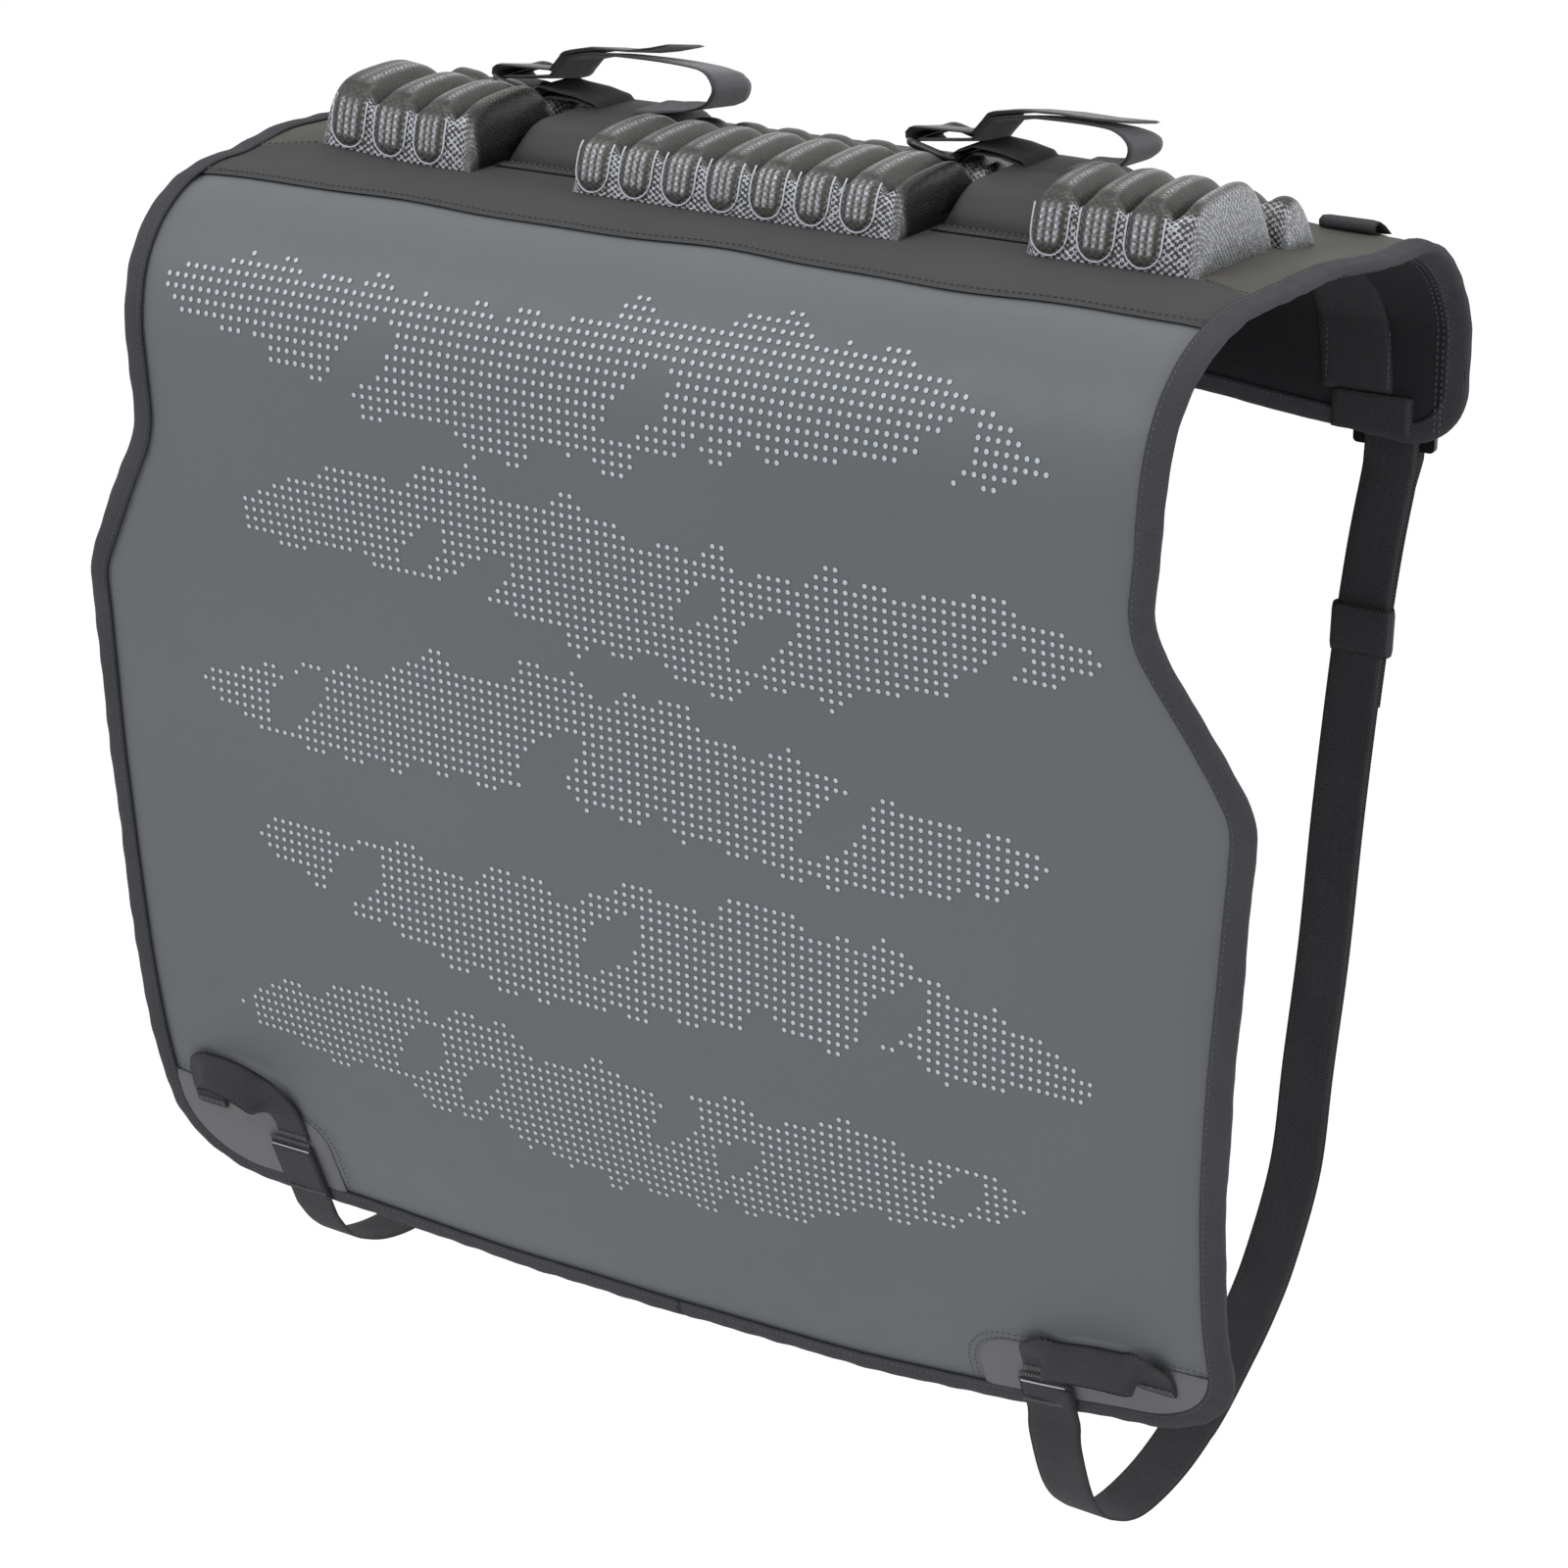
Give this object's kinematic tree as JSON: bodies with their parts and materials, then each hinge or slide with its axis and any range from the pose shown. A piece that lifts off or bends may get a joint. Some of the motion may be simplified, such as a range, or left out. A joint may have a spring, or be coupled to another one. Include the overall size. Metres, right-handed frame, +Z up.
{
  "type": "tailgate bike pad",
  "caption": "Padded sheet that hangs over a pickup tailgate and carries bikes by the down tube, with ribbed foam rests, closing straps and hold-down straps.",
  "frame": {"origin": "On the underside of the flat top, half way between the front and the rear bend and half way across the pad, where the pad sits on the tailgate's upper edge", "axes": "+X to the pad's right as seen from the front, +Y from the long front panel back to the short rear flap, +Z up"},
  "size_m": [0.7, 0.3566, 0.7372],
  "materials": {
    "tarpaulin": "coated cloth, satin",
    "matte_cloth": "woven, matte",
    "grid_cloth": "woven grid, low sheen",
    "foam": "foam, matte",
    "lining": "soft knit, matte",
    "tape": "woven tape, matte",
    "spacer_mesh": "open spacer mesh",
    "smooth_cloth": "smooth cloth, low sheen",
    "hook_loop": "hook and loop, fuzzy",
    "webbing": "woven webbing, matte",
    "gloss_plastic": "moulded, glossy",
    "print": "printed dots, matte"
  },
  "bodies": {
    "root": {"anchor_left": "webbing", "anchor_right": "webbing", "bike_strap_left": "hook_loop", "bike_strap_right": "hook_loop", "binding": "tape", "buckle_left": "gloss_plastic", "buckle_right": "gloss_plastic", "corner_patch_left": "tarpaulin", "corner_patch_right": "tarpaulin", "cradle_left": "smooth_cloth", "cradle_right": "smooth_cloth", "finger_loop_left": "webbing", "finger_loop_right": "webbing", "flap_band_left": "webbing", "flap_band_right": "webbing", "flap_patch_left": "webbing", "flap_patch_right": "webbing", "foam_core": "foam", "front_rest_left": "spacer_mesh", "front_rest_middle": "spacer_mesh", "front_rest_right": "spacer_mesh", "front_skin": "tarpaulin", "hold_strap_left": "webbing", "hold_strap_right": "webbing", "keeper_left": "webbing", "keeper_right": "webbing", "lining": "lining", "print_field_1": "print", "print_field_2": "print", "print_field_3": "print", "print_field_4": "print", "print_field_5": "print", "rear_rest_left": "spacer_mesh", "rear_rest_middle": "spacer_mesh", "rear_rest_right": "spacer_mesh", "ring_left": "gloss_plastic", "ring_right": "gloss_plastic", "ring_tab_left": "webbing", "ring_tab_right": "webbing", "top_panel": "grid_cloth", "top_strip": "matte_cloth"}
  },
  "joints": []
}
